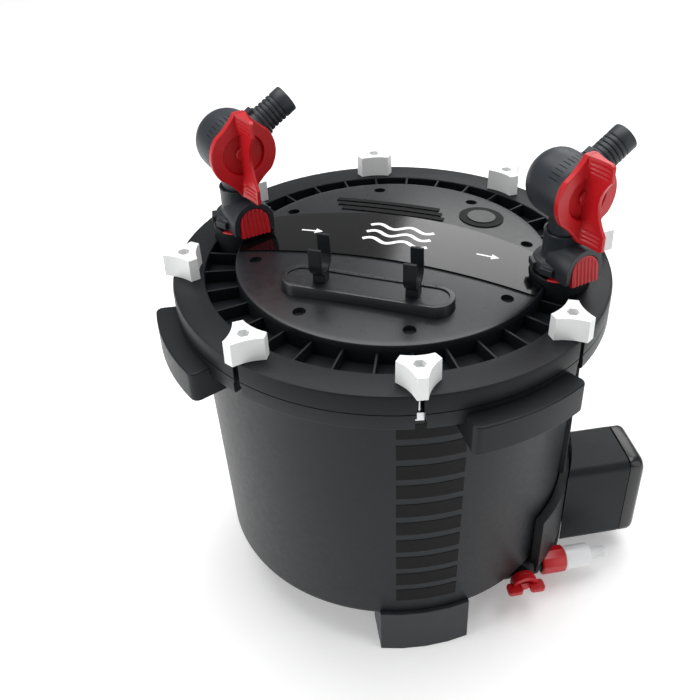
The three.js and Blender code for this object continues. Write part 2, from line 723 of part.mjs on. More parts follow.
function drain() {
  const group = new THREE.Group();
  group.add(drainPipe(), drainBody(), drainBall(), drainHandle(), drainLockNut(), drainNozzle());
  group.position.set(0, DRAIN_ACROSS, DRAIN_Z);
  return group;
}

// ---------------------------------------------------------------- inside the bucket
function basket(name, floor, top) {
  const wall = 2.4;
  const profile = [[30, floor], [117, floor], [118.5, top]];
  profile.push([118.5 - wall, top], [117 - wall, floor + wall]);
  profile.push([30 + wall, floor + wall], [30 + wall, top - 6], [30, top - 6], [30, floor]);
  return mesh(name, solid(turned(profile, 24)), whitePlastic);
}

function inside() {
  const sleeve = solid(tube(119.5, 143, BOTTOM_Z + WALL + 4, 262, 24));
  const pipe = solid(tube(21, 25, BOTTOM_Z + WALL + GAP, 268, 16));
  return [
    basket("basket_lower", BOTTOM_Z + WALL + 6, 150),
    basket("basket_upper", 152, 260),
    mesh("foam_sleeve", sleeve, foam),
    mesh("centre_pipe", pipe, darkPlastic),
  ];
}

// ---------------------------------------------------------------- assembly
const filter = new THREE.Group();
filter.add(canister(), lid(), lidSeal(), lidCover(), badgeBand(), clipTray(), ...inside());
filter.add(clip("clip_left", -36), clip("clip_right", 36));

["front", "right_rear", "left_rear"].forEach((place, i) => {
  filter.add(foot("foot_" + place, FOOT_FIRST_ANGLE + 120 * i));
});

for (let i = 0; i < FASTENERS; i++) {
  const fastener = new THREE.Group();
  const a = radians(fastenerAngle(i));
  fastener.add(bolt("bolt_" + (i + 1)), nut("nut_" + (i + 1)));
  fastener.position.set(NUT_CIRCLE * Math.cos(a), NUT_CIRCLE * Math.sin(a), 0);
  fastener.rotation.z = a;
  filter.add(fastener);
}

filter.add(valveStation("in", -1), valveStation("out", 1));

const side = new THREE.Group();
side.add(motorBracket(), motorHousing(), motorEndCap(), pumpCover(), impeller(), impellerShaft());
side.add(stator(), cordGland(), drain());
side.rotation.z = radians(SIDE_TURN);
filter.add(side);

// the origin is on the floor in the middle of the whole filter's footprint
const envelope = new THREE.Box3().setFromObject(filter, true);
const middle = envelope.getCenter(new THREE.Vector3());
filter.position.set(-middle.x, -middle.y, 0);

export default filter;
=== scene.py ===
"""Canister filter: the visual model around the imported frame.

Sizes are in millimetres about the bucket's upright axis; `place` turns them into the frame's
metres. Every round piece is a profile carried round an axis, most others are a closed outline
carried along a path, and the trim and the tabs are grids, all worked out as whole arrays.
"""

import bmesh
import bpy
import numpy as np
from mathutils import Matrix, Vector


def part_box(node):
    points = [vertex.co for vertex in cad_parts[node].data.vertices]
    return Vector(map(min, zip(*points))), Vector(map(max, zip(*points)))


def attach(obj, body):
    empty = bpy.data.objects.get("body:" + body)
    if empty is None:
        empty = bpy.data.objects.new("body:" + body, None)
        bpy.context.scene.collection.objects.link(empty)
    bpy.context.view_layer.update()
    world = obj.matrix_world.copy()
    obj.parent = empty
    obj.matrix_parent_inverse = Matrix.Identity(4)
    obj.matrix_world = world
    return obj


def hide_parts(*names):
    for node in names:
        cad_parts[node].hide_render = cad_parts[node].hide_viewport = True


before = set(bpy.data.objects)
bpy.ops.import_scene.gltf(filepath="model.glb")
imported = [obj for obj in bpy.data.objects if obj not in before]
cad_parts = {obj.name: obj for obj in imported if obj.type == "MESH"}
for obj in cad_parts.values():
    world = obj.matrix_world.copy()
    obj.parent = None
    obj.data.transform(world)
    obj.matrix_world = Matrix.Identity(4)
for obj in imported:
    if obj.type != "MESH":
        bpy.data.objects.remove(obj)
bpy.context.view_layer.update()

# ------------------------------------------------------------------ places
MM = 0.001
low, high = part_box("lid")
AXIS = np.array([(low.x + high.x) / 2, (low.y + high.y) / 2, 0.0])  # the bucket's axis on the floor
FASTENER_ANGLES = [22.5 + 45 * i for i in range(8)]
NUT_CIRCLE = 165.0
VALVE_X, VALVE_Y, VALVE_TURN = 133.6, 6.4, 47.0
VALVE_CLEARANCE = 24.3  # radius kept free of the panel and the trim round each valve
DRUM_Z = 379.5  # middle of each valve's ball
SPIGOT_TILT = 58.5  # hose spigots lean this far from upright
SIDE_TURN = 28.0  # the motor and the drain sit at this angle round the bucket
DRAIN_V, DRAIN_Z = -109.3, 29.7  # the drain's line: sideways from the bucket's axis, and its height
BALL_U = 92.0  # the drain valve's stem along that line


def turn(axis, degrees):
    """4x4 rotation about x, y or z: cosines on the diagonal, sines off it."""
    a = np.radians(degrees)
    c, s = np.cos(a), np.sin(a)
    i, j = {"x": (1, 2), "y": (2, 0), "z": (0, 1)}[axis]
    m = np.eye(4)
    m[i, i] = m[j, j] = c
    m[i, j], m[j, i] = -s, s
    return m


def shift(x, y, z):
    """4x4 move by (x, y, z) millimetres."""
    m = np.eye(4)
    m[:3, 3] = (x, y, z)
    return m


HERE = np.eye(4)
FACING = turn("x", 90)  # an outline then stands upright and its depth runs towards -y
ALONG_X = turn("y", 90)  # a profile's axis then lies along x


# ------------------------------------------------------------------ mesh making
def place(points, where):
    """Millimetre points moved by a 4x4, scaled to metres and set on the bucket's axis."""
    return (points @ where[:3, :3].T + where[:3, 3]) * MM + AXIS


def finish_mesh(mesh, sharp=38):
    """Merges doubled points, drops loose edges, turns faces outwards and shades by angle."""
    bm = bmesh.new()
    bm.from_mesh(mesh)
    bmesh.ops.remove_doubles(bm, verts=bm.verts, dist=2e-6)
    loose = [e for e in bm.edges if not e.link_faces]
    bmesh.ops.delete(bm, geom=loose, context="EDGES")
    bmesh.ops.recalc_face_normals(bm, faces=bm.faces)
    bm.to_mesh(mesh)
    bm.free()
    mesh.shade_smooth()
    mesh.set_sharp_from_angle(angle=np.radians(sharp))


def add_object(name, mesh, material=None):
    """A mesh as a scene object with one material."""
    piece = bpy.data.objects.new(name, mesh)
    bpy.context.scene.collection.objects.link(piece)
    if material:
        mesh.materials.clear()
        mesh.materials.append(material)
    return piece


def from_rings(name, rings, where=HERE, material=None, loop=False):
    """A closed outline of k points carried through m stations, rings[m, k, 3].
    Quads join each station to the next; loop joins the last to the first, else both ends get a lid."""
    m, k = rings.shape[:2]
    row = np.arange(m if loop else m - 1)[:, None] * k
    col = np.arange(k)[None, :]
    after = (row + k) % (m * k)
    quads = np.stack([row + col, row + (col + 1) % k, after + (col + 1) % k, after + col], -1)
    faces = quads.reshape(-1, 4).tolist()
    if not loop:
        faces += [list(range(k)), list(range((m - 1) * k, m * k))]
    mesh = bpy.data.meshes.new(name)
    mesh.from_pydata(place(rings.reshape(-1, 3), where).tolist(), [], faces)
    finish_mesh(mesh)
    return add_object(name, mesh, material)


def revolved(name, profile, where=HERE, material=None, steps=192):
    """x = r cos a, y = r sin a, z = z for each profile point (r, z) and a once round."""
    profile = np.asarray(profile, float)
    a = np.linspace(0, 2 * np.pi, steps, endpoint=False)[:, None]
    r, z = profile[:, 0][None], profile[:, 1][None]
    rings = np.stack([r * np.cos(a), r * np.sin(a), z + 0 * a], -1)
    return from_rings(name, rings, where, material, loop=True)


def sector(name, profile, start, end, where=HERE, material=None, steps=24):
    """The same profile carried only from one angle to another, with flat ends."""
    profile = np.asarray(profile, float)
    a = np.radians(np.linspace(start, end, steps))[:, None]
    r, z = profile[:, 0][None], profile[:, 1][None]
    rings = np.stack([r * np.cos(a), r * np.sin(a), z + 0 * a], -1)
    return from_rings(name, rings, where, material)


def prism(name, outline, levels, where=HERE, material=None):
    """An outline (x, y) at each level (height, scale about its middle)."""
    outline = np.asarray(outline, float)
    levels = np.asarray(levels, float)
    middle = (outline.min(0) + outline.max(0)) / 2
    flat = middle + (outline - middle)[None] * levels[:, 1][:, None, None]
    height = np.broadcast_to(levels[:, 0][:, None, None], flat.shape[:2] + (1,))
    return from_rings(name, np.concatenate([flat, height], -1), where, material)


def bar(name, x, y, z, where=HERE, material=None):
    """A block between x[0]..x[1], y[0]..y[1] and z[0]..z[1]."""
    outline = [(x[0], y[0]), (x[1], y[0]), (x[1], y[1]), (x[0], y[1])]
    return prism(name, outline, [(z[0], 1), (z[1], 1)], where, material)


def rounded_box(x, y, radius, steps=8):
    """Outline of a rectangle whose corners are quarter circles."""
    t = np.linspace(0, np.pi / 2, steps)
    corners = [(x[1], y[1], 0), (x[0], y[1], 1), (x[0], y[0], 2), (x[1], y[0], 3)]
    arcs = [
        np.stack(
            [
                cx - radius * np.sign(cx - sum(x) / 2) + radius * np.cos(t + q * np.pi / 2),
                cy - radius * np.sign(cy - sum(y) / 2) + radius * np.sin(t + q * np.pi / 2),
            ],
            -1,
        )
        for cx, cy, q in corners
    ]
    return np.concatenate(arcs)


def soften(piece, width, segments=3, angle=32):
    """A small rounding along every edge sharper than an angle."""
    mod = piece.modifiers.new("edge", "BEVEL")
    mod.width = width * MM
    mod.segments = segments
    mod.limit_method = "ANGLE"
    mod.angle_limit = np.radians(angle)
    mod.harden_normals = True
    mod.use_clamp_overlap = True
    return piece


def bake(piece):
    """Applies a piece's modifiers to its mesh."""
    depsgraph = bpy.context.evaluated_depsgraph_get()
    made = bpy.data.meshes.new_from_object(piece.evaluated_get(depsgraph))
    piece.modifiers.clear()
    piece.data = made
    return piece


def carve(piece, *cutters):
    """Cuts other solids out of a piece and removes them."""
    for cutter in cutters:
        mod = piece.modifiers.new("cut", "BOOLEAN")
        mod.operation = "DIFFERENCE"
        mod.solver = "EXACT"
        mod.object = cutter
    bake(piece)
    for cutter in cutters:
        bpy.data.objects.remove(cutter)
    piece.data.shade_smooth()
    piece.data.set_sharp_from_angle(angle=np.radians(38))
    return piece


def joined(name, pieces):
    """Several pieces as one mesh object, each first given its own modifiers' shape."""
    bm = bmesh.new()
    materials = []
    for piece in pieces:
        if piece.modifiers:
            bake(piece)
        for material in piece.data.materials:
            if material not in materials:
                materials.append(material)
        start = len(bm.faces)
        bm.from_mesh(piece.data)
        bm.faces.ensure_lookup_table()
        own = [materials.index(material) for material in piece.data.materials]
        for face in bm.faces[start:]:
            face.material_index = own[face.material_index] if own else 0
    mesh = bpy.data.meshes.new(name)
    bm.to_mesh(mesh)
    bm.free()
    for piece in pieces:
        bpy.data.objects.remove(piece)
    mesh.materials.clear()
    for material in materials:
        mesh.materials.append(material)
    return add_object(name, mesh)


def refined(name, node, material, width=0.8, segments=3):
    """A copy of a frame node with its points merged, its flat faces joined and its edges rounded."""
    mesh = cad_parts[node].data.copy()
    mesh.name = name
    bm = bmesh.new()
    bm.from_mesh(mesh)
    bmesh.ops.remove_doubles(bm, verts=bm.verts, dist=2e-6)
    bmesh.ops.dissolve_limit(
        bm, angle_limit=np.radians(1.0), verts=bm.verts, edges=bm.edges, use_dissolve_boundaries=False
    )
    bm.to_mesh(mesh)
    bm.free()
    if mesh.has_custom_normals:
        mesh.attributes.remove(mesh.attributes["custom_normal"])
    mesh.shade_smooth()
    mesh.set_sharp_from_angle(angle=np.radians(32))
    piece = add_object(name, mesh, material)
    return soften(piece, width, segments)


def stand_in(piece, body, slot, *nodes):
    """Rides on a body and replaces the plain frame nodes; the slot argument is not used."""
    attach(piece, body)
    if nodes:
        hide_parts(*nodes)
    return piece


# ------------------------------------------------------------------ materials
def linear(code, alpha=1.0):
    """sRGB hex to linear: c / 12.92 below 0.04045, else ((c + 0.055) / 1.055) to the power 2.4."""
    c = np.array([int(code[i : i + 2], 16) for i in (1, 3, 5)]) / 255
    c = np.where(c <= 0.04045, c / 12.92, ((c + 0.055) / 1.055) ** 2.4)
    return (*c.tolist(), alpha)


def add(tree, kind, inputs=None, **settings):
    """Adds a node with its settings; an input is a value, or a socket to link from."""
    made = tree.nodes.new(kind)
    for key, value in settings.items():
        setattr(made, key, value)
    for key, value in (inputs or {}).items():
        if isinstance(value, bpy.types.NodeSocket):
            tree.links.new(value, made.inputs[key])
        else:
            made.inputs[key].default_value = value
    return made


def moulded(name, colour, cloud, roughness, grain=0.6, height=0.012, spread=0.06, ior=1.5):
    """Injection-moulded plastic: a colour that drifts a little over tens of millimetres, a gloss that
    varies as it does where a tool was textured, fine scuffs, and a grain of the given size in mm."""
    material = bpy.data.materials.new(name)
    material.use_nodes = True
    tree = material.node_tree
    tree.nodes.clear()
    here = add(tree, "ShaderNodeTexCoord").outputs["Object"]
    drift = add(tree, "ShaderNodeTexNoise", {"Vector": here, "Scale": 28.0, "Detail": 3.0})
    blotch = add(tree, "ShaderNodeTexNoise", {"Vector": here, "Scale": 210.0, "Detail": 4.0})
    fine = add(tree, "ShaderNodeTexNoise", {"Vector": here, "Scale": 1 / (grain * MM), "Detail": 2.0})
    stretch = add(tree, "ShaderNodeMapping", {"Vector": here, "Scale": (900.0, 900.0, 60.0)})
    scuff = add(tree, "ShaderNodeTexNoise", {"Vector": stretch.outputs[0], "Scale": 1.0, "Detail": 2.0})
    mark = add(
        tree,
        "ShaderNodeMapRange",
        {"Value": scuff.outputs["Fac"], "From Min": 0.66, "From Max": 0.8, "To Max": 0.05},
    )
    base = add(
        tree,
        "ShaderNodeMix",
        {0: drift.outputs["Fac"], 6: linear(colour), 7: linear(cloud)},
        data_type="RGBA",
    )
    gloss = add(
        tree,
        "ShaderNodeMapRange",
        {
            "Value": blotch.outputs["Fac"],
            "From Min": 0.3,
            "From Max": 0.7,
            "To Min": roughness - spread / 2,
            "To Max": roughness + spread / 2,
        },
    )
    worn = add(tree, "ShaderNodeMath", {0: gloss.outputs[0], 1: mark.outputs[0]}, operation="ADD")
    relief = add(
        tree,
        "ShaderNodeBump",
        {"Strength": 0.35, "Distance": height * MM, "Height": fine.outputs["Fac"]},
    )
    shader = add(
        tree,
        "ShaderNodeBsdfPrincipled",
        {
            "Base Color": base.outputs[2],
            "Roughness": worn.outputs[0],
            "IOR": ior,
            "Normal": relief.outputs[0],
        },
    )
    out = add(tree, "ShaderNodeOutputMaterial")
    tree.links.new(shader.outputs[0], out.inputs[0])
    return material


# Glass-filled polypropylene, satin from a lightly etched tool: near-black with a soft wide sheen.
body_pp = moulded("charcoal_polypropylene", "#14171a", "#191c1f", 0.42, grain=0.9, height=0.03, ior=1.29)
# The lid's plain top faces, from a finer tool: the same plastic, a touch smoother.
lid_pp = moulded("lid_polypropylene", "#121417", "#171a1d", 0.4, grain=0.8, height=0.02, ior=1.28)
# The raised panel, from a polished tool: the same plastic with a clearer sheen.
panel_pp = moulded("panel_polypropylene", "#16181b", "#1c1e21", 0.3, grain=0.8, height=0.015, ior=1.5)
# The same resin where the tool is rough: the bracket, the sockets and the drain look flatter.
rough_pp = moulded("textured_polypropylene", "#131518", "#181a1d", 0.48, 1.1, 0.05, ior=1.34)
# The feet: a little greyer and lighter than the body plastic.
foot_pp = moulded("foot_polypropylene", "#22252a", "#292c30", 0.45, grain=1.0, height=0.04, ior=1.42)
# The motor's end cap, polished: near-black with clearer reflections.
gloss_cap = moulded("polished_polypropylene", "#17181a", "#1c1d1f", 0.2, 1.5, 0.01, spread=0.05)
# Polished black acrylic trim: deep colour and clear reflections.
gloss_trim = moulded("polished_black_acrylic", "#050506", "#08090a", 0.14, 2.5, 0.002, spread=0.04)
# Valve bodies: grey-black acetal, fine matt bloom.
valve_grey = moulded("grey_acetal", "#24282d", "#2b2f34", 0.4, grain=0.7, height=0.03, ior=1.4)
# Lighter grey acetal of the collar's lugs.
lug_grey = moulded("light_grey_acetal", "#595c60", "#64676b", 0.45, grain=0.8, height=0.03)
# Glossy red ABS: saturated, with a soft highlight.
red_abs = moulded("red_abs", "#b00d17", "#bf151d", 0.34, grain=1.4, height=0.012)
# White ABS of the hand nuts and baskets: neutral white, low gloss.
white_abs = moulded("white_abs", "#e4e5e5", "#eeefef", 0.38, grain=1.2, height=0.015)
# White nylon of the hose connector and the balls: smoother and a little less bright.
white_nylon = moulded("white_nylon", "#dddedf", "#e9eaeb", 0.3, grain=1.4, height=0.01)
# Nitrile rubber of seals and the gland: black, dull.
nitrile = moulded("nitrile_rubber", "#121213", "#18181a", 0.72, grain=0.8, height=0.05)
# Open filter foam: blue-black, coarse.
foam = moulded("filter_foam", "#1c2128", "#2b323c", 0.95, grain=2.2, height=0.9)
# White screen-printing ink on the trim: flat and even.
print_white = moulded("white_screen_ink", "#eeeeec", "#f6f6f5", 0.5, grain=1.0, height=0.004)
# Black ink of the bars on the bucket and of the panel's raised marks: deeper and duller than the
# plastic under it.
print_black = moulded("black_screen_ink", "#040405", "#070708", 0.55, grain=1.0, height=0.006, ior=1.25)


def metal(name, colour, roughness):
    """Zinc-plated or turned steel: full metal with fine turning lines round the axis."""
    material = bpy.data.materials.new(name)
    material.use_nodes = True
    tree = material.node_tree
    tree.nodes.clear()
    here = add(tree, "ShaderNodeTexCoord").outputs["Object"]
    stretch = add(tree, "ShaderNodeMapping", {"Vector": here, "Scale": (60.0, 60.0, 2600.0)})
    lines = add(tree, "ShaderNodeTexNoise", {"Vector": stretch.outputs[0], "Scale": 1.0, "Detail": 3.0})
    gloss = add(
        tree,
        "ShaderNodeMapRange",
        {"Value": lines.outputs["Fac"], "To Min": roughness - 0.08, "To Max": roughness + 0.1},
    )
    ends = {0: lines.outputs["Fac"], 6: linear(colour), 7: linear("#d8dadd")}
    tint = add(tree, "ShaderNodeMix", ends, data_type="RGBA")
    relief = add(
        tree, "ShaderNodeBump", {"Strength": 0.3, "Distance": 0.02 * MM, "Height": lines.outputs["Fac"]}
    )
    shader = add(
        tree,
        "ShaderNodeBsdfPrincipled",
        {
            "Base Color": tint.outputs[2],
            "Metallic": 1.0,
            "Roughness": gloss.outputs[0],
            "Normal": relief.outputs[0],
        },
    )
    out = add(tree, "ShaderNodeOutputMaterial")
    tree.links.new(shader.outputs[0], out.inputs[0])
    return material


# Zinc-plated steel of the T-bolts: bright, slightly blue.
zinc_steel = metal("zinc_plated_steel", "#b9bcc1", 0.28)
# Laminated steel of the winding block inside the motor.
lamination = metal("laminated_steel", "#8d9095", 0.42)
# Alumina ceramic of the pump's shaft.
alumina = moulded("alumina_ceramic", "#e2dfd6", "#ebe9e2", 0.22, grain=0.8, height=0.004)

# ------------------------------------------------------------------ bucket
RIM_R, RIM_TOP, LID_BOTTOM, FLANGE_BOTTOM = 176.0, 300.0, 283.4, 270.0
SHANK_SLOT, HEAD_SLOT = 5.8, 8.0  # widths of the slots for the bolts' shanks and heads
GRIP_ROOT = 157.5  # radius inside the wall from which the grips start
PRINT_PITCH, PRINT_HEIGHT = 20.6, 14.0


def round_slots(width, start, end, bottom, top):
    """Radial slots of one width under every nut, as cutters."""
    return joined(
        "slots",
        [
            bar("slot", (start, end), (-width / 2, width / 2), (bottom, top), turn("z", a))
            for a in FASTENER_ANGLES
        ],
    )


def bucket():
    """A tapering revolved wall with a thick flange, cut by the bolt slots and four small notches;
    two grips and two ribs that guide the lead."""
    top = LID_BOTTOM - 0.3
    profile = [(0, 41), (144, 41), (148.5, 41.8), (151.6, 44.2), (153, 48.5), (159.9, 262), (160.6, 266)]
    profile += [(162, 268.6), (164, FLANGE_BOTTOM), (174.6, FLANGE_BOTTOM), (175.6, 270.6)]
    profile += [(RIM_R, 272), (RIM_R, top), (155, top), (155, 264), (149, 51), (144, 45), (0, 45)]
    wall = revolved("wall", profile, material=body_pp, steps=256)
    wide = round_slots(HEAD_SLOT, 160.4, 190, 262, 279.8)
    narrow = round_slots(SHANK_SLOT, 161.5, 190, 262, 290)
    notches = joined(
        "notches",
        [bar("n", (172, 178), (-2.4, 2.4), (269, 270.8), turn("z", a)) for a in (-101, -108, -79, -116)],
    )
    carve(wall, wide, narrow, notches)
    soften(wall, 0.5, 2)
    grips = [grip(angle) for angle in (-42, -138)]
    ribs = [
        soften(bar("rib", (152, 160.8), (-1.6, 1.6), (112, 232), turn("z", a), body_pp), 0.8)
        for a in (-3, 8)
    ]
    return joined("bucket", [wall, *grips, *ribs])


def grip(angle, half=15.0, outer=192.0, corner=6.0):
    """Carrying grip: a ring wedge with round outer corners, carried up, its edges eased."""
    t = np.linspace(0, np.pi / 2, 10)
    a0, a1 = np.radians(angle - half), np.radians(angle + half)
    bend = corner / outer
    arc = np.linspace(a0 + bend, a1 - bend, 40)
    r = np.concatenate([[GRIP_ROOT], outer - corner + corner * np.sin(t), [outer] * 40])
    a = np.concatenate([[a0], a0 + bend * (1 - np.cos(t)), arc])
    r = np.concatenate([r, outer - corner + corner * np.cos(t), [GRIP_ROOT]])
    a = np.concatenate([a, a1 - bend + bend * np.sin(t), [a1]])
    outline = np.stack([r * np.cos(a), r * np.sin(a)], -1)
    inner = np.linspace(a1, a0, 20)[1:-1]
    outline = np.concatenate([outline, GRIP_ROOT * np.stack([np.cos(inner), np.sin(inner)], -1)])
    return soften(prism("grip", outline, [(252.5, 1), (278, 1)], material=body_pp), 1.5, 4)


def printed_bars():
    """Plain black bars printed down the wall: thin patches that follow its taper."""
    patches = []
    for i in range(10):
        z0 = 62 + PRINT_PITCH * i
        z1 = z0 + PRINT_HEIGHT
        r0, r1 = (153 + 6.9 * (z - 48.5) / 213.5 for z in (z0, z1))
        patch = [(r0 - 0.5, z0), (r0 + 0.25, z0), (r1 + 0.25, z1), (r1 - 0.5, z1)]
        patches.append(sector("bar", patch, -73, -54, material=print_black, steps=40))
    return joined("wall_print", patches)


stand_in(bucket(), "vessel", "body_plastic", "canister")
stand_in(printed_bars(), "vessel", "gloss_black")
for foot in ("foot_front", "foot_right_rear", "foot_left_rear"):
    stand_in(refined("soft_" + foot, foot, foot_pp, 1.6), "vessel", "dark_plastic", foot)

# ------------------------------------------------------------------ lid
PANEL_R = 126.3
POCKET_OUT, POCKET_FLOOR = 150.8, 289.0
POCKETS = 32
DOME_TOP, DOME_FALL = 312.7, 6.9
SCREW_CIRCLE = 110.0
TRAY_Y, TRAY_LENGTH, TRAY_WIDTH = -69.3, 135.0, 31.5
TRIM_EDGE = 124.6  # the trim's ends stop at this radius
VALVE_PLACES = {
    side: shift(sign * VALVE_X, VALVE_Y, 0) @ turn("z", VALVE_TURN)
    for side, sign in (("in", -1), ("out", 1))
}


def valve_cutters(radius, bottom):
    """Round clearance at each valve."""
    profile = [(0, bottom), (radius, bottom), (radius, 330), (0, 330)]
    return [revolved("c", profile, where, steps=64) for where in VALVE_PLACES.values()]


def lid_ring():
    """Rim, pocket ring and skirt in one profile, cut by the bolt slots and the valve seats."""
    profile = [(0, 296), (122.8, 296), (122.8, 285.5), (145.5, 285.5), (145.5, 272), (150, 272)]
    profile += [(150, LID_BOTTOM), (175.6, LID_BOTTOM), (RIM_R, 284), (RIM_R, 297.4), (175.2, 299.3)]
    profile += [(173.4, RIM_TOP), (151.4, RIM_TOP), (POCKET_OUT, 299.4), (POCKET_OUT, POCKET_FLOOR)]
    profile += [(PANEL_R, POCKET_FLOOR), (PANEL_R, RIM_TOP), (0, RIM_TOP)]
    ring = revolved("ring", profile, material=lid_pp, steps=256)
    carve(ring, round_slots(SHANK_SLOT, 161.5, 190, 276, 310), *valve_cutters(24, 290))
    return soften(ring, 0.5, 2)


def pocket_ribs():
    """Thin upright webs between the pockets, left out where a valve's socket stands."""
    middle, room = 138.5, 27
    webs = []
    for i in range(POCKETS):
        a = 360 / POCKETS * i
        x, y = middle * np.cos(np.radians(a)), middle * np.sin(np.radians(a))
        if min(np.hypot(x - VALVE_X, y - VALVE_Y), np.hypot(x + VALVE_X, y - VALVE_Y)) < room:
            continue
        web = bar("web", (125.8, 151.2), (-0.95, 0.95), (288.5, 299.5), turn("z", a), lid_pp)
        webs.append(soften(web, 0.35, 2))
    return joined("webs", webs)


def dome(r):
    """Height of the panel at a radius: a parabola, highest in the middle."""
    return DOME_TOP - DOME_FALL * (np.asarray(r, float) / PANEL_R) ** 2


def panel():
    """The raised middle panel: a parabola of revolution with a rounded edge, eight screw wells,
    the tray's pocket and the cut-outs at the valves."""
    r = np.linspace(0, 124.4, 34)
    profile = [(0, 300.3), (PANEL_R, 300.3), (PANEL_R, 304.6), (126.0, 305.4), (125.4, 305.8)]
    profile += list(zip(r[::-1], dome(r[::-1])))
    cover = revolved("cover", profile, material=panel_pp, steps=224)
    wells = []
    for a in FASTENER_ANGLES:
        x, y = SCREW_CIRCLE * np.cos(np.radians(a)), SCREW_CIRCLE * np.sin(np.radians(a))
        well = [(0, 303.6), (5, 303.6), (5, 307.2), (5, 330), (0, 330)]
        wells.append(revolved("well", well, shift(x, y, 0), steps=40))
    room = stadium(TRAY_LENGTH + 0.6, TRAY_WIDTH + 0.6)
    pocket = prism("pocket", room, [(306, 1), (330, 1)], shift(0, TRAY_Y, 0))
    carve(cover, joined("wells", wells), pocket, *valve_cutters(VALVE_CLEARANCE, 285))
    return soften(cover, 0.45, 2)


def stadium(length, width, steps=24):
    """Two half circles joined by straight sides."""
    r = width / 2
    t = np.linspace(-np.pi / 2, np.pi / 2, steps)
    right = np.stack([length / 2 - r + r * np.cos(t), r * np.sin(t)], -1)
    return np.concatenate([right, -right])


def trim_band():
    """Glossy trim over the panel: a sheet between two arcs, y from -33.5 + 11.5 (1 - (x / 130)^2) to
    20 + 31 (1 - (x / 130)^2), both kept inside the circle x^2 + y^2 = 124.6^2, 1.3 mm above the dome."""
    x = np.linspace(-124.5, 124.5, 180)[:, None]
    t = np.linspace(0, 1, 30)[None]
    bow = 1 - (x / 130) ** 2
    edge = np.sqrt(TRIM_EDGE**2 - x**2)
    near = np.clip(-33.5 + 11.5 * bow, -edge, edge)
    far = np.clip(20 + 31 * bow, -edge, edge)
    y = near * (1 - t) + far * t
    top = np.stack([x + 0 * t, y, dome(np.hypot(x, y)) + 1.3], -1)
    return closed_grids("trim", top, top - np.array([0, 0, 1.6]), HERE, gloss_trim)


def closed_grids(name, top, under, where, material, sharp=38):
    """Two grids of points of one size, one under the other, closed round their border."""
    m, n = top.shape[:2]
    points = np.concatenate([top.reshape(-1, 3), under.reshape(-1, 3)])
    index = np.arange(m * n).reshape(m, n)
    quads = np.stack([index[:-1, :-1], index[1:, :-1], index[1:, 1:], index[:-1, 1:]], -1).reshape(-1, 4)
    rim = np.concatenate([index[:, 0], index[-1, 1:], index[-2::-1, -1], index[0, -2:0:-1]])
    after = np.roll(rim, -1)
    wall = np.stack([rim, after, after + m * n, rim + m * n], -1)
    faces = np.concatenate([quads, quads[:, ::-1] + m * n, wall])
    mesh = bpy.data.meshes.new(name)
    mesh.from_pydata(place(points, where).tolist(), [], faces.tolist())
    finish_mesh(mesh, sharp)
    return add_object(name, mesh, material)


def on_dome(name, outlines, lift, material, thick=0.5):
    """Flat outlines laid on the trim: each point takes the dome's height plus a lift."""
    pieces = []
    for outline in outlines:
        outline = np.asarray(outline, float)
        low = dome(np.hypot(outline[:, 0], outline[:, 1])) + lift
        bottom = np.concatenate([outline, (low - thick)[:, None]], -1)
        top = np.concatenate([outline, low[:, None]], -1)
        pieces.append(from_rings(name, np.stack([bottom, top]), HERE, material))
    return joined(name, pieces)


def stroke(points, width):
    """A line of points as a closed outline: each side is the line moved half the width along the
    line's normal."""
    points = np.asarray(points, float)
    along = np.gradient(points, axis=0)
    along /= np.linalg.norm(along, axis=1)[:, None]
    side = np.stack([-along[:, 1], along[:, 0]], -1) * width / 2
    return np.concatenate([points + side, (points - side)[::-1]])


stand_in(joined("lid_shell", [lid_ring(), pocket_ribs()]), "vessel", "body_plastic", "lid")
stand_in(panel(), "vessel", "body_plastic", "lid_cover")
band = trim_band()
carve(band, *valve_cutters(VALVE_CLEARANCE, 285))
soften(band, 0.35, 2)
stand_in(band, "vessel", "gloss_black", "badge_band")

# Plain printed marks: three waves y = y0 + 3.2 sin(2 pi x / 27), and a flow arrow at each valve.
PRINT_LIFT = 1.42  # height of the printed marks over the dome
wave_x = np.linspace(-27, 27, 60)
waves = []
for dy in (-6, 6, 18):
    wave_y = 10 + dy + 3.2 * np.sin(wave_x * 2 * np.pi / 27)
    waves.append(stroke(np.stack([wave_x, wave_y], -1), 3.6))
stand_in(on_dome("trim_waves", waves, PRINT_LIFT, print_white), "vessel", "white_plastic")
arrows = []
for x, points_to in ((-72.0, 1), (76.0, 1)):
    shaft = np.array([(-9, -0.9), (3, -0.9), (3, 0.9), (-9, 0.9)]) * (points_to, 1)
    head = np.array([(3, -4), (9.5, 0), (3, 4)]) * (points_to, 1)
    arrows += [shaft + (x, 8), head + (x, 8)]
stand_in(on_dome("flow_arrows", arrows, PRINT_LIFT, print_white), "vessel", "white_plastic")
# Raised black bars behind the trim, and a raised ring round a plain dot beside them.
plates = [
    stroke(np.stack([np.linspace(start, end, 20), np.full(20, y)], -1), 5.4)
    for y, start, end in ((56.8, -62, 28), (65.2, -68, 24), (73.6, -72, 20))
]
t = np.linspace(0, 2 * np.pi, 72, endpoint=False)
circle = np.stack([np.cos(t), np.sin(t)], -1)
outer, inner = (radius * circle + (57, 74) for radius in (19, 12))
stand_in(on_dome("panel_relief", plates, 0.9, print_black, 1.3), "vessel", "gloss_black")
stand_in(on_dome("panel_disc", [outer], 0.9, print_black, 1.3), "vessel", "gloss_black")
stand_in(on_dome("panel_dot", [inner], 1.5, panel_pp, 1.3), "vessel", "body_plastic")


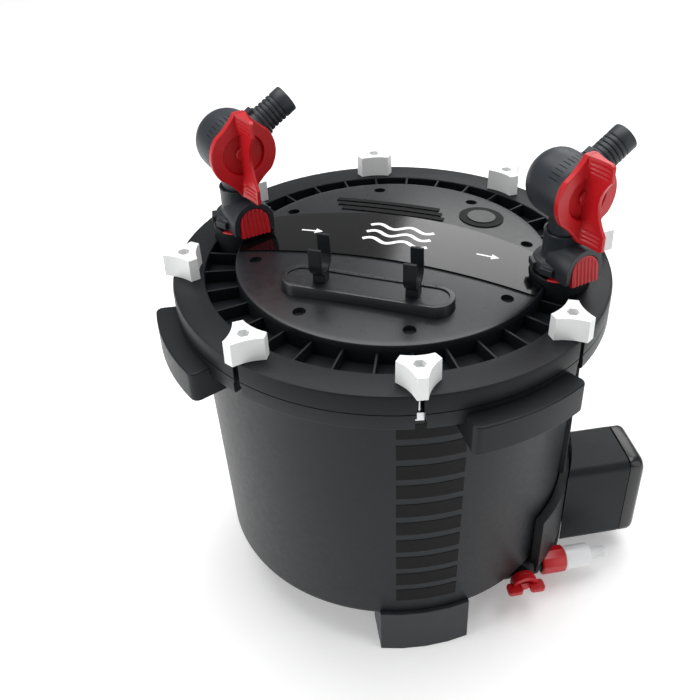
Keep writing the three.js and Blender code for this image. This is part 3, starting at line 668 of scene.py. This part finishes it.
def tray():
    """Oblong tray: a stadium whose rim steps in to a glossy floor, with small pins along the rim."""
    levels = [(0, 306.3), (0, 317.2), (0.3, 317.8), (0.9, 318.0), (4.1, 318.0)]
    levels += [(4.45, 317.7), (4.5, 316.7), (14.5, 316.7)]
    rings = []
    for inset, z in levels:
        outline = stadium(TRAY_LENGTH - 2 * inset, TRAY_WIDTH - 2 * inset)
        rings.append(np.concatenate([outline, np.full((len(outline), 1), z)], -1))
    here = shift(0, TRAY_Y, 0)
    body = from_rings("tray_body", np.array(rings), here, panel_pp)
    floor = prism("tray_floor", stadium(125.4, 21.9), [(316.5, 1), (316.95, 1)], here, gloss_trim)
    pins = []
    for x in np.arange(-50, 51, 10.0):
        for y in (-13.4, 13.4):
            pin = [(0, 317.9), (0.6, 317.9), (0.5, 318.3), (0, 318.4)]
            pins.append(revolved("pin", pin, shift(x, TRAY_Y + y, 0), body_pp, steps=12))
    return joined("tray", [body, floor, *pins])


stand_in(tray(), "vessel", "body_plastic", "clip_tray")
for side in ("left", "right"):
    clip = refined("soft_clip_" + side, "clip_" + side, body_pp, 0.5)
    stand_in(clip, "vessel", "dark_plastic", "clip_" + side)


# ------------------------------------------------------------------ lid fasteners
def nut_outline():
    """Three blunt tips 16.2 out and 7.8 wide, joined by hollow sides (quadratic Bezier curves)."""
    reach, half, waist = 16.2, 3.9, 7.7
    cos60, sin60 = 0.5, np.sqrt(0.75)
    t = np.linspace(0, 1, 22)[:, None]
    start, middle = np.array([reach, half]), waist * np.array([cos60, sin60])
    end = np.array([reach * -cos60 + half * sin60, reach * sin60 + half * cos60])
    side = (1 - t) ** 2 * start + 2 * t * (1 - t) * middle + t**2 * end
    return np.concatenate([side @ turn("z", 120 * i)[:2, :2].T for i in range(3)])


def hand_nut(i, where):
    """Three-tipped nut: the outline drawn in a little towards its top, with a hexagonal well."""
    levels = [(300.3, 1.0), (316.9, 0.985), (318.5, 0.98)]
    knob = prism("knob", nut_outline(), levels, where, white_abs)
    hexagon = [(4.8 * np.cos(a), 4.8 * np.sin(a)) for a in np.radians(np.arange(30, 390, 60))]
    well = prism("well", hexagon, [(313.3, 1), (330, 1)], where)
    bore = revolved("bore", [(0, 299), (2.8, 299), (2.8, 314), (0, 314)], where, steps=24)
    carve(knob, well, bore)
    knob.name = f"hand_nut_{i}"
    return soften(knob, 0.9, 4)


def t_bolt(i, where):
    """Square head in the flange's slot and a round shank up into the nut."""
    head = bar("head", (-3.7, 3.7), (-3.7, 3.7), (272, 279.5), where, zinc_steel)
    shank = [(0, 279), (2.4, 279), (2.4, 310.6), (1.9, 311.4), (0, 311.4)]
    shank = revolved("shank", shank, where, zinc_steel, 32)
    return joined(f"t_bolt_{i}", [soften(head, 0.5), shank])


for i, angle in enumerate(FASTENER_ANGLES, 1):
    where = turn("z", angle) @ shift(NUT_CIRCLE, 0, 0)
    stand_in(hand_nut(i, where), f"nut_{i}", "white_plastic", f"nut_{i}")
    stand_in(t_bolt(i, where), f"bolt_{i}", "steel", f"bolt_{i}")


# ------------------------------------------------------------------ valves
def arch(radius, floor, middle=323.0, steps=40):
    """Doorway outline: a half circle over straight sides."""
    t = np.linspace(0, np.pi, steps)
    top = np.stack([radius * np.cos(t), middle + radius * np.sin(t)], -1)
    return np.concatenate([[(radius, floor)], top, [(-radius, floor)]])


def valve_neck(side, at):
    """Collar, cup and arched hood in one casting with the lighter lugs round the collar."""
    collar = [(8.5, 293), (12.6, 293), (12.6, 314), (21.4, 314), (22, 314.6), (22, 320.4), (20.8, 322.4)]
    collar += [(17.6, 323.2), (16.2, 324.4), (15.5, 327), (15.5, 344.4), (15.9, 345.2), (15.6, 346)]
    collar += [(13.9, 346), (13.5, 345.4), (13.4, 331), (8.5, 331)]
    tube = revolved("tube", collar, at, valve_grey, 96)
    depth = [(2, 1), (26.8, 1.0), (27.5, 0.975)]
    hood = prism("hood", arch(17.5, 314.2), depth, at @ FACING, valve_grey)
    mouths = [prism("mouth", arch(13.1, 300), [(16.2, 1), (40, 1)], at @ FACING) for _ in range(2)]
    carve(hood, mouths[0], revolved("in", [(0, 300), (15, 300), (15, 350), (0, 350)], at, steps=48))
    carve(tube, mouths[1])
    lugs = [
        soften(bar("lug", (17, 24.4), (-5.6, 5.6), (315.6, 321.4), at @ turn("z", a), lug_grey), 0.7)
        for a in (-158, -22, 22, 158)
    ]
    return joined("valve_neck_shell_" + side, [soften(tube, 0.5, 2), soften(hood, 0.9), *lugs])


def push_tab(side, at):
    """Red tab in the hood's arch: a leaning front y = -27 - 2.8 (1 - v)^1.3 with rounded upright
    ribs, x = u w(v), w the arch's half width, and a curved lip that runs under the collar."""
    u = np.linspace(-1, 1, 84)[:, None]
    v = np.linspace(0, 1, 36)[None]
    z = 312.8 + 22.4 * v
    w = np.sqrt(np.maximum(12.4**2 - np.maximum(z - 323, 0) ** 2, 0.4))
    x = u * w
    fade = np.clip((1 - np.abs(u)) * 9, 0, 1) * np.clip((1 - v) * 9, 0, 1)
    rib = 0.55 * np.cos(2 * np.pi * x / 3.5) * fade
    y = -27.0 - 2.8 * (1 - v) ** 1.3 - rib
    front = np.stack([x, y, z + 0 * x], -1)
    back = np.stack([x, np.full_like(x + z, -20.0), z + 0 * x], -1)
    face = closed_grids("tab_face", front, back, at, red_abs, 50)
    lip = [(18.5, 312.5), (25.3, 312.5), (25.9, 313.0), (25.3, 313.7), (18.5, 313.7)]
    lip = sector("lip", lip, -152, -28, at, red_abs, 60)
    return joined("push_tab_" + side, [face, soften(lip, 0.3, 2)])


def ball_housing(side, at):
    """Drum across the valve: flat front, straight side, and a round back of radius 25.6 cos(t)^0.9 at
    the depth 13.5 + 20.5 sin(t); a stub below, a boss for the hose spigot, and a row of fine scale
    marks cut along the upper side."""
    t = np.linspace(0, np.pi / 2, 20)
    profile = [(0, 14.8), (24.2, 14.8), (25.2, 14.2), (25.6, 13)]
    profile += list(zip(25.6 * np.cos(t) ** 0.9, -13.5 - 20.5 * np.sin(t)))
    profile[-1] = (0, -34)
    drum = revolved("drum", profile, at @ shift(0, 0, DRUM_Z) @ FACING, valve_grey, 128)
    ticks = []
    for i in range(10):
        a = 118 - 8.5 * i
        spot = at @ shift(0, 0, DRUM_Z) @ FACING @ turn("z", a + 28)
        ticks.append(bar("tick", (25.0, 27), (-0.3, 0.3), (0.5, 9.0), spot))
    carve(drum, joined("ticks", ticks))
    stub = [(0, 331), (12.6, 331), (13.1, 331.6), (13.1, 365), (0, 365)]
    stub = revolved("stub", stub, at, valve_grey, 64)
    up = at @ shift(0, 0, DRUM_Z) @ turn("y", SPIGOT_TILT)
    boss = [(0, 8), (13.4, 8), (13.4, 24.6), (12.8, 25.6), (12.8, 28), (0, 28)]
    boss = revolved("boss", boss, up, valve_grey, 64)
    notch = bar("notch", (-3.4, 3.4), (11.8, 15.4), (22.5, 29), up @ turn("z", 90), valve_grey)
    turned = [soften(piece, 0.4, 2) for piece in (drum, stub, boss)]
    return joined("ball_housing_" + side, [*turned, soften(notch, 0.5)])


def hose_spigot(side, at):
    """Hose spigot: four rounded ridges and a straight end collar, open bore."""
    profile = [(8, 28.3), (12.6, 28.3), (12.6, 30.4), (11.9, 31.2), (10.7, 31.6)]
    for i in range(4):
        z = 32.0 + 3.9 * i
        profile += [(11.25, z + 0.3), (11.35, z + 1.4), (11.2, z + 2.9)]
        profile += [(10.35, z + 3.2), (10.35, z + 3.7)]
    profile += [(11.1, 48.0), (11.25, 48.6), (11.25, 56.2), (10.8, 57.3), (10.3, 57.6)]
    profile += [(8.4, 57.6), (8, 57.2)]
    up = at @ shift(0, 0, DRUM_Z) @ turn("y", SPIGOT_TILT)
    return soften(revolved("hose_spigot_" + side, profile, up, valve_grey, 96), 0.25, 2)


def lever_outline():
    """Circle of 27.4 drawn out to two blunt tips: the flank from 52 degrees off the tip is a curve
    (quadratic Bezier) that hollows a little before the tip."""
    flank = np.radians(52)
    a = np.linspace(flank - np.pi / 2, np.pi / 2 - flank, 44)
    side = 27.4 * np.stack([np.cos(a), np.sin(a)], -1)
    t = np.linspace(0, 1, 16)[1:, None]
    start, bend, tip = side[-1], np.array([9.8, 25.6]), np.array([4.8, 34.5])
    upper = (1 - t) ** 2 * start + 2 * t * (1 - t) * bend + t**2 * tip
    right = np.concatenate([upper[::-1] * (1, -1), side, upper])
    return np.concatenate([right, right[::-1] * (-1, 1)])


def ease(x):
    """0 below 0, 1 above 1, and 3 x^2 - 2 x^3 between."""
    x = np.clip(x, 0, 1)
    return x * x * (3 - 2 * x)


def grip_fin(at):
    """Blade standing out of the lever. Its outer edge is 33.5 + 9.5 (z / 21.5)^2 from the axis, at most
    43, rounded off at the ends; the half width grows from 1.4 at that edge to 2.1 at the root in the
    middle and 5 at the root near the tips; three shallow grooves run across it at each tip."""
    z = np.linspace(-34.5, 34.5, 231)[:, None]
    far = np.abs(z)
    out = np.minimum(33.5 + 9.5 * (far / 21.5) ** 2, 43.0) - 0.55 * np.maximum(far - 32.3, 0) ** 2
    root = 16.4 + 2.6 * ease((far - 16.0) / 1.6)
    v = np.concatenate([[0.0], np.linspace(0.03, 0.985, 22), [1.0]])[None]
    deep = root + (out - root) * v
    half_root = 2.1 + 2.9 * ease((far - 13) / 15)
    half = 1.4 + (half_root - 1.4) * (1 - v) ** 1.9
    half = half * np.where(v > 0.99, 0.45, 1.0)
    groove = sum(np.exp(-(((far - c) / 0.75) ** 2)) for c in (23.2, 26.6, 30.0))
    half = half - 0.75 * groove * ease((deep - 22.5) / 2.5) * ease((40.6 - deep) / 2.0)
    one = np.stack([half, -deep, z + 0 * v], -1)
    other = np.stack([-half, -deep, z + 0 * v], -1)[:, ::-1]
    return from_rings("fin", np.concatenate([one, other], 1), at, red_abs)


def ring_lever(side, at):
    """Plate with a round well, a hub over the ball's stem, and the upright grip fin."""
    at = at @ shift(0, 0, DRUM_Z)
    plate = prism("plate", lever_outline(), [(15.4, 1), (20.6, 1)], at @ FACING, red_abs)
    well = revolved("well", [(0, 16.6), (16.6, 16.6), (17.4, 25), (0, 25)], at @ FACING, steps=72)
    hub = [(0, 16.2), (6, 16.2), (6, 18.6), (5.2, 19.6), (0, 19.6)]
    hub = revolved("hub", hub, at @ FACING, red_abs, 48)
    carve(plate, well)
    soften(plate, 1.0, 3)
    return joined("ring_lever_" + side, [plate, grip_fin(at), hub])


for side, at in VALVE_PLACES.items():
    socket = [(13, 290.6), (23.5, 290.6), (23.5, 311.4), (22.9, 312.1), (13, 312.1)]
    socket = soften(revolved("socket_ring_" + side, socket, at, rough_pp, 96), 0.4, 2)
    stand_in(socket, "vessel", "dark_plastic", "valve_socket_" + side)
    stand_in(valve_neck(side, at), "valve_" + side, "valve_grey", "valve_neck_" + side)
    stand_in(ball_housing(side, at), "valve_" + side, "valve_grey", "valve_drum_" + side)
    stand_in(hose_spigot(side, at), "valve_" + side, "valve_grey", "hose_barb_" + side)
    stand_in(push_tab(side, at), "tab_" + side, "red_plastic", "release_tab_" + side)
    stand_in(ring_lever(side, at), "lever_" + side, "red_plastic", "valve_lever_" + side)

# ------------------------------------------------------------------ motor
SIDE = turn("z", SIDE_TURN)
MOTOR_V, MOTOR_Z0, MOTOR_Z1 = (-83.3, -24.7), 19.5, 111.0  # its two sides, bottom and top


def motor_outline():
    """Section of the motor: a rectangle with round corners, in the plane across its length."""
    return rounded_box((-MOTOR_Z1, -MOTOR_Z0), MOTOR_V, 9.0)


def motor_shell():
    """Straight box with round long edges, hollowed to sit on the bracket's curve."""
    levels = [(120, 1), (201.4, 1), (202, 0.985)]
    box = prism("motor_shell", motor_outline(), levels, SIDE @ ALONG_X, body_pp)
    bound = revolved("bound", [(0, 0), (164.8, 0), (164.8, 200), (0, 200)], steps=192)
    carve(box, bound)
    return soften(box, 0.4, 2)


def motor_cap():
    """End cap with a bevelled border round a flat face."""
    levels = [(202.3, 0.99), (203, 1), (211.5, 1), (214.4, 0.97), (216.2, 0.92), (216.5, 0.9)]
    cap = prism("motor_cap", motor_outline(), levels, SIDE @ ALONG_X, gloss_cap)
    return soften(cap, 0.5, 2)


stand_in(motor_shell(), "vessel", "body_plastic", "motor_housing")
stand_in(motor_cap(), "vessel", "dark_plastic", "motor_end_cap")
stand_in(refined("saddle", "motor_bracket", rough_pp, 1.2), "vessel", "dark_plastic", "motor_bracket")
stand_in(refined("gland", "cord_gland", nitrile, 0.6), "vessel", "rubber", "cord_gland")

# ------------------------------------------------------------------ drain
DRAIN = SIDE @ shift(0, DRAIN_V, DRAIN_Z)


def drain_parts():
    """Pipe with its collar and riser, and the valve's barrel with its boss, tail and ring."""
    pipe = [(3.6, 42), (5.6, 42), (5.6, 69), (7.6, 69), (8, 69.5), (8, 74), (7.6, 74.5), (5.6, 74.5)]
    pipe += [(5.6, 77), (3.6, 77)]
    pipe = soften(revolved("pipe", pipe, DRAIN @ ALONG_X, lug_grey, 56), 0.3, 2)
    riser = [(0, -5.6), (6.4, -5.6), (7, -5), (7, 10.6), (0, 10.6)]
    riser = revolved("riser", riser, DRAIN @ shift(48, 0, 0), rough_pp, 40)
    barrel = [(0, 77.4), (9.6, 77.4), (10.6, 78.4), (10.6, 100), (9.8, 103), (8.4, 106), (8, 108)]
    barrel += [(8, 122), (0, 122)]
    barrel = revolved("barrel", barrel, DRAIN @ ALONG_X, rough_pp, 64)
    boss = [(0, 4), (8, 4), (8, 14.5), (7.5, 15), (0, 15)]
    boss = revolved("boss", boss, DRAIN @ shift(BALL_U, 0, 0) @ FACING, rough_pp, 48)
    ring = [(7, 107), (10, 107), (10, 109.5), (7, 109.5)]
    ring = revolved("ring", ring, DRAIN @ ALONG_X, rough_pp, 48)
    run = joined("pipe_run", [pipe, riser])
    return run, joined("drain_barrel", [soften(barrel, 0.3, 2), boss, ring])


def drain_butterfly():
    """Round cap on the stem under an arched bridge, with two flat wings and a slot between them."""
    spot = DRAIN @ shift(BALL_U, 0, 0)
    cap = [(0, 15.4), (10.9, 15.4), (11.5, 16), (11.5, 19.2), (10.6, 20.4), (0, 20.4)]
    cap = revolved("cap", cap, spot @ FACING, red_abs, 64)
    t = np.linspace(0, np.pi, 28)
    outer = np.stack([11.6 * np.cos(t), 2.0 + 9.6 * np.sin(t)], -1)
    inner = np.stack([7.0 * np.cos(t[::-1]), 2.0 + 5.4 * np.sin(t[::-1])], -1)
    bridge = np.concatenate([outer, inner])
    bridge = prism("bridge", bridge, [(19.5, 1), (25.5, 0.97)], spot @ FACING, red_abs)
    wings = []
    for across in ((-17.0, -3.4), (3.4, 17.0)):
        tip = rounded_box(across, (-32.0, -20.0), 3.2)
        wings.append(soften(prism("wing", tip, [(-2.1, 1), (2.1, 1)], spot, red_abs), 0.8))
    web = bar("web", (-9, 9), (-23.5, -19), (-2.1, 2.1), spot, red_abs)
    return joined("butterfly", [soften(cap, 0.4, 2), soften(bridge, 0.7), *wings, soften(web, 0.6)])


def lock_nut():
    """Ten-sided nut drawn in a little at both ends and bored through."""
    t = np.linspace(0, 2 * np.pi, 10, endpoint=False)
    flats = 12.7 * np.stack([np.cos(t), np.sin(t)], -1)
    levels = [(113.5, 0.91), (115, 1), (134.4, 1), (136, 0.93)]
    nut = prism("lock_nut", flats, levels, DRAIN @ ALONG_X, red_abs)
    carve(nut, revolved("hole", [(0, 100), (9, 100), (9, 150), (0, 150)], DRAIN @ ALONG_X, steps=48))
    return soften(nut, 0.8)


def hose_connector():
    """White sleeve and a tip whose surface is a diamond knurl: r = 5.25 + 0.42 times the product of two
    opposed helical waves, drawn in by 0.5 ((x - 173) / 3.6)^2 over the last 3.6 mm."""
    sleeve = [(3, 122.3), (7.9, 122.3), (7.9, 136.4), (10.2, 136.4), (10.6, 136.9), (10.6, 158.6)]
    sleeve += [(10.1, 160.2), (9.3, 160.6), (3, 160.6)]
    sleeve = soften(revolved("sleeve", sleeve, DRAIN @ ALONG_X, white_nylon, 96), 0.4, 2)
    a = np.linspace(0, 2 * np.pi, 120, endpoint=False)[:, None]
    x = np.linspace(160.4, 176.6, 70)[None]
    knurl = np.cos(9 * a + 2 * np.pi * x / 3.4) * np.cos(9 * a - 2 * np.pi * x / 3.4)
    fade = np.clip((176.4 - x) / 1.5, 0, 1) * np.clip((x - 160.4) / 1.0, 0, 1)
    r = 5.25 - 0.5 * np.clip((x - 173) / 3.6, 0, 1) ** 2 + 0.42 * knurl * fade
    outer = np.stack([r * np.cos(a), r * np.sin(a), x + 0 * a], -1)
    ends = ((4.4, 177.4), (3.2, 177.5), (3.2, 160.8))
    bore = [(r0 * np.cos(a), r0 * np.sin(a), x0 + 0 * a) for r0, x0 in ends]
    bore = np.stack([np.concatenate(p, -1) for p in bore], 1)
    rings = np.concatenate([outer, bore], 1)
    tip = from_rings("tip", rings, DRAIN @ ALONG_X, white_nylon, loop=True)
    return joined("hose_connector", [sleeve, tip])


pipe_run, drain_barrel = drain_parts()
stand_in(pipe_run, "vessel", "dark_plastic", "drain_pipe")
stand_in(drain_barrel, "vessel", "dark_plastic", "drain_body")
stand_in(drain_butterfly(), "drain_valve", "red_plastic", "drain_handle")
stand_in(lock_nut(), "drain_lock_nut", "red_plastic", "drain_lock_nut")
stand_in(hose_connector(), "vessel", "white_plastic", "drain_nozzle")

# ------------------------------------------------------------------ pieces out of sight
# They keep the frame's shape and take a material only.
INNER = {
    "lid_seal": nitrile,
    "basket_lower": white_abs,
    "basket_upper": white_abs,
    "foam_sleeve": foam,
    "centre_pipe": rough_pp,
    "pump_cover": rough_pp,
    "impeller": nitrile,
    "impeller_shaft": alumina,
    "stator": lamination,
    "valve_ball_in": white_nylon,
    "valve_ball_out": white_nylon,
    "drain_ball": white_nylon,
}
for name, material in INNER.items():
    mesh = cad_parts[name].data
    mesh.materials.clear()
    mesh.materials.append(material)

# ------------------------------------------------------------------ studio
floor_paint = moulded("studio_floor_paint", "#f6f6f6", "#f9f9f9", 0.85, grain=3.0, height=0.0)
# a faint glow of its own keeps the pale floor clean to its far edge
for node in floor_paint.node_tree.nodes:
    if node.type == "BSDF_PRINCIPLED":
        node.inputs["Emission Color"].default_value = (1, 1, 1, 1)
        node.inputs["Emission Strength"].default_value = 0.22


def studio_floor(reach=6.0):
    """Flat sheet that curves up behind: z = 0 until the bend, then a quarter circle of 0.6 m."""
    t = np.linspace(0, 1, 30)
    y = np.concatenate([[-reach], 3.4 + 0.6 * np.sin(t * np.pi / 2)])
    z = np.concatenate([[0.0], 0.6 * (1 - np.cos(t * np.pi / 2))])
    x = np.array([-reach, reach])
    points = np.stack(np.broadcast_arrays(x[:, None], y[None], z[None]), -1)
    n = len(y)
    quads = [(j, j + n, j + n + 1, j + 1) for j in range(n - 1)]
    mesh = bpy.data.meshes.new("studio_floor")
    mesh.from_pydata(points.reshape(-1, 3).tolist(), [], quads)
    mesh.shade_smooth()
    return add_object("studio_floor", mesh, floor_paint)


studio_floor()


def softbox(name, spot, aim, size, power):
    """Rectangular area light pointing at a place."""
    light = bpy.data.lights.new(name, "AREA")
    light.shape = "RECTANGLE"
    light.size, light.size_y = size
    light.energy = power
    lamp = bpy.data.objects.new(name, light)
    lamp.location = spot
    lamp.rotation_euler = (Vector(aim) - Vector(spot)).to_track_quat("-Z", "Y").to_euler()
    bpy.context.scene.collection.objects.link(lamp)


softbox("overhead", (-0.1, 0.35, 2.0), (0, 0, 0.2), (2.4, 1.8), 48)
softbox("rear", (0.12, 2.5, 1.75), (0, 0, 0.3), (1.7, 1.0), 14.5)
softbox("front_left", (-1.5, -1.3, 0.9), (0, 0, 0.2), (1.0, 1.6), 17)
softbox("right", (1.7, -0.4, 0.9), (0, 0, 0.2), (1.0, 1.6), 6.5)

world = bpy.data.worlds.new("studio")
world.use_nodes = True
background = world.node_tree.nodes["Background"]
background.inputs[0].default_value = (1, 1, 1, 1)
background.inputs[1].default_value = 0.3
bpy.context.scene.world = world
bpy.context.scene.view_settings.view_transform = "Standard"  # plain: colours come out as given

# ------------------------------------------------------------------ camera
camera_data = bpy.data.cameras.new("camera")
camera_data.sensor_width = 36.0
camera_data.lens = 47.87
camera_data.shift_x = -0.0686
camera_data.shift_y = 0.0264
camera_data.clip_end = 50.0
camera = bpy.data.objects.new("camera", camera_data)
camera.location = tuple(np.array([184.7, -627.2, 689.6]) * MM + AXIS)
camera.rotation_euler = (np.radians(52.56), 0.0, np.radians(16.05))
bpy.context.scene.collection.objects.link(camera)
bpy.context.scene.camera = camera
